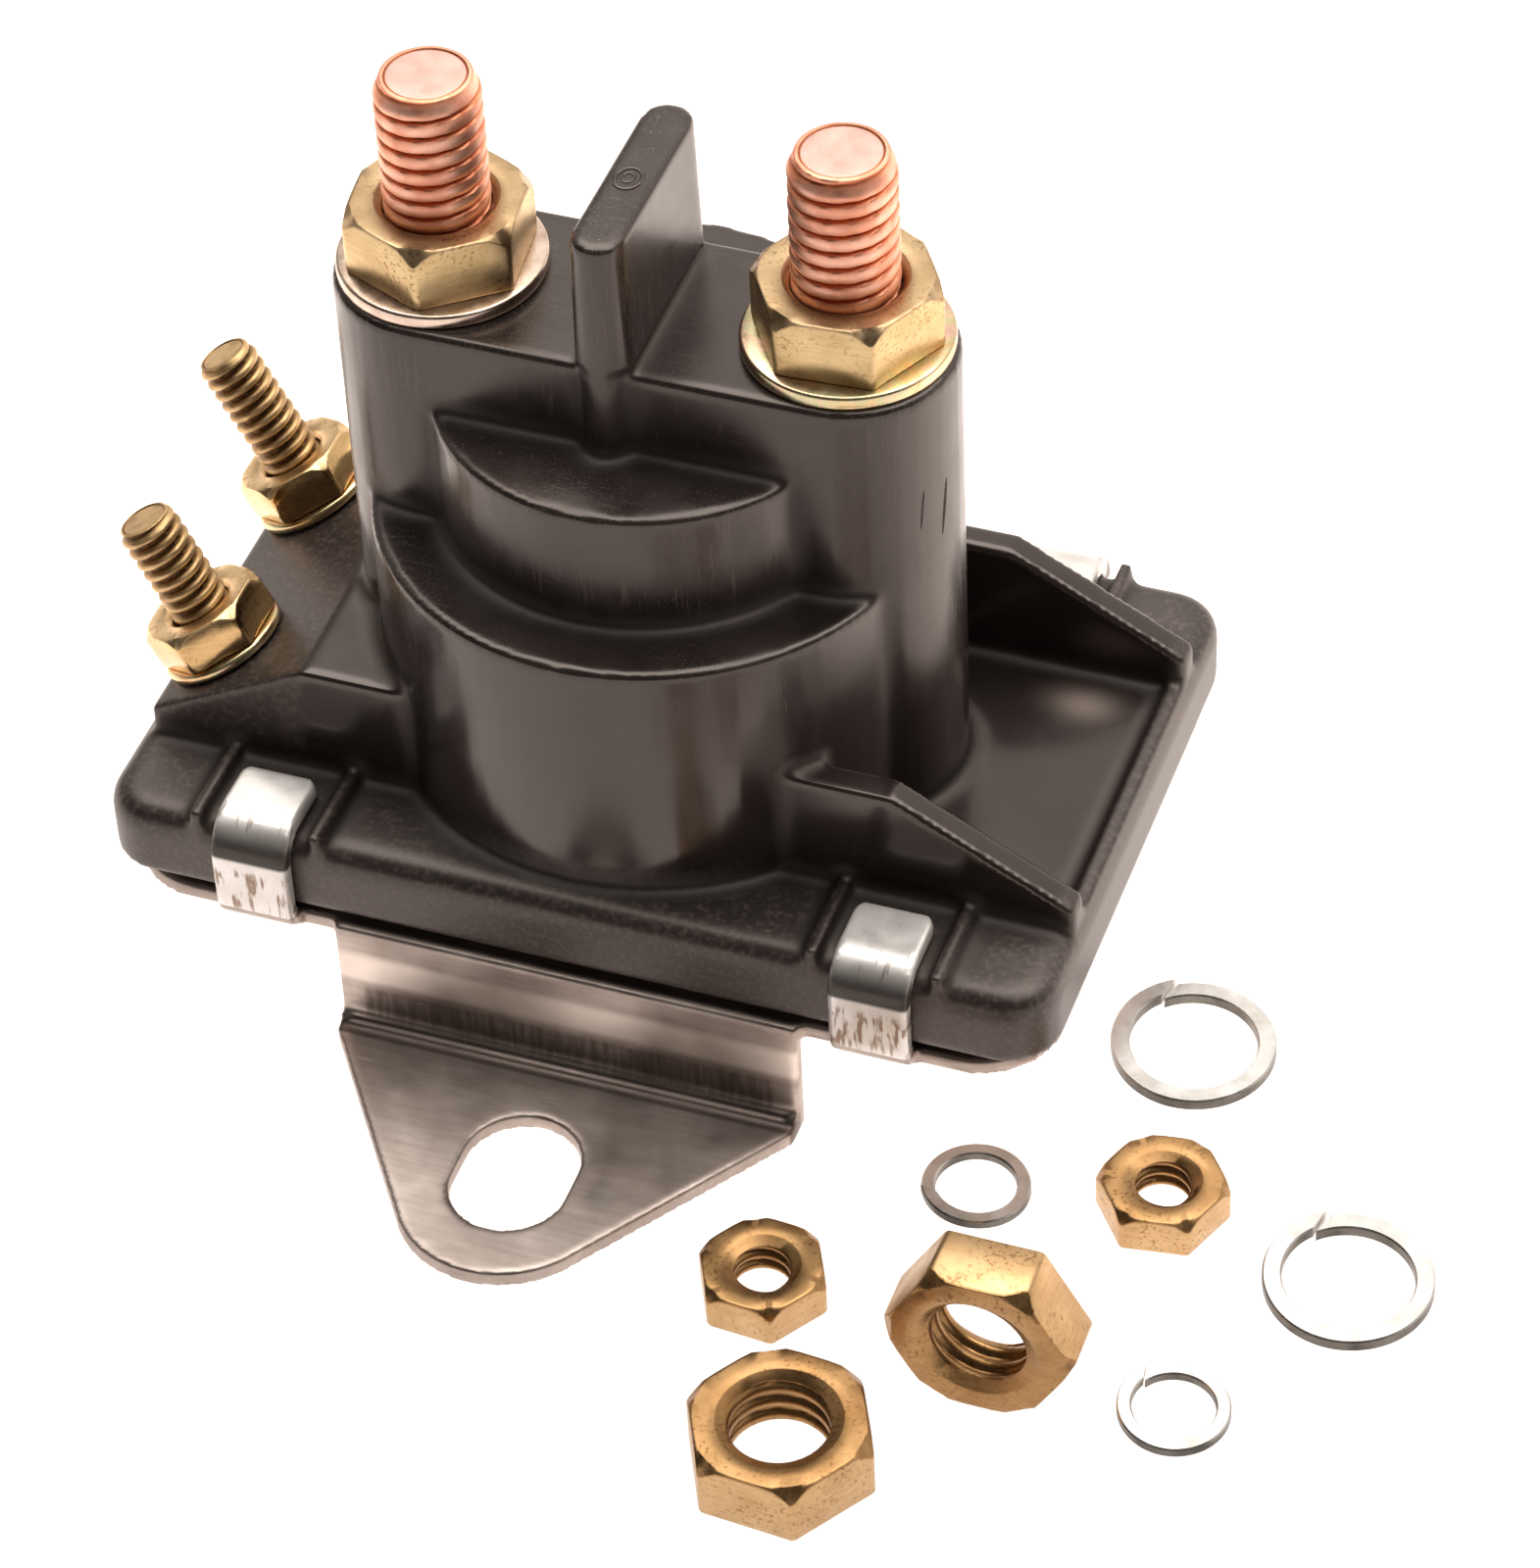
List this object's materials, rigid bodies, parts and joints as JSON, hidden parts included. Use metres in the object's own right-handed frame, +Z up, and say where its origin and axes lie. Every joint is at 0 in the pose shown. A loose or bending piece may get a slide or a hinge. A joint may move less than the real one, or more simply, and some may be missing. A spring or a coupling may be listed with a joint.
{
  "type": "solenoid relay",
  "caption": "Moulded four-terminal solenoid relay with threaded power studs, coil studs, a barrier fin and a slotted steel base bracket, with spare nuts and lock washers.",
  "frame": {"origin": "centre of the base plate underside, below the middle of the terminal tower", "axes": "+Z up through the terminal tower, +X from the left power stud to the right one, -Y towards the front ear"},
  "size_m": [0.1076, 0.1062, 0.0726],
  "materials": {
    "housing_plastic": "satin black moulded plastic",
    "bracket_steel": "plated sheet steel with bend marks",
    "gasket_rubber": "matt",
    "copper": "bare copper, threaded",
    "washer_copper": "copper-toned plate",
    "washer_chromate": "yellow chromate over zinc",
    "nut_brass": "dull brass",
    "stud_brass": "dull brass, threaded",
    "spare_brass": "clean brass",
    "zinc_plate": "zinc plated",
    "core_iron": "turned soft iron",
    "insulation": "moulded nylon",
    "winding_enamel": "enamelled copper wire",
    "spring_steel": "spring steel",
    "lock_washer_steel": "bright plated steel"
  },
  "bodies": {
    "root": {"housing": "housing_plastic", "base_bracket": "bracket_steel", "gasket": "gasket_rubber", "main_stud_left": "copper", "main_stud_right": "copper", "main_washer_left": "washer_copper", "main_washer_right": "washer_chromate", "main_nut_left": "nut_brass", "main_nut_right": "nut_brass", "coil_stud_front": "stud_brass", "coil_stud_rear": "stud_brass", "coil_washer_front": "washer_chromate", "coil_washer_rear": "washer_chromate", "coil_nut_front": "nut_brass", "coil_nut_rear": "nut_brass", "coil_lead_front": "winding_enamel", "coil_lead_rear": "winding_enamel", "yoke_can": "zinc_plate", "fixed_core": "core_iron", "coil_bobbin": "insulation", "coil_winding": "winding_enamel", "guide_sleeve": "nut_brass", "return_spring": "spring_steel"},
    "plunger": {"plunger": "core_iron", "plunger_rod": "zinc_plate", "spring_seat": "zinc_plate", "retaining_clip": "spring_steel", "contact_spring": "spring_steel"},
    "contact": {"contact_bar": "copper", "insulating_bush": "insulation"},
    "loose_hardware": {"spare_main_nut_flat": "spare_brass", "spare_main_nut_standing": "spare_brass", "spare_coil_nut_near": "spare_brass", "spare_coil_nut_far": "spare_brass", "main_lock_washer_far": "lock_washer_steel", "main_lock_washer_near": "lock_washer_steel", "coil_lock_washer_far": "lock_washer_steel", "coil_lock_washer_near": "lock_washer_steel"}
  },
  "joints": [
    {"name": "plunger_slide", "type": "slide", "parent": "root", "child": "plunger", "axis": [0, 0, 1], "range_m": [0, 0.0024], "stiffness_N_per_m": 500, "springref_m": -0.004, "deforming": ["return_spring"]},
    {"name": "contact_overtravel", "type": "slide", "parent": "plunger", "child": "contact", "axis": [0, 0, 1], "range_m": [-0.0008, 0], "stiffness_N_per_m": 700, "springref_m": 0.002, "deforming": ["contact_spring"]},
    {"name": "hardware_lift", "type": "slide", "parent": "root", "child": "loose_hardware", "axis": [0, 0, 1], "range_m": [0, 0.008]}
  ]
}
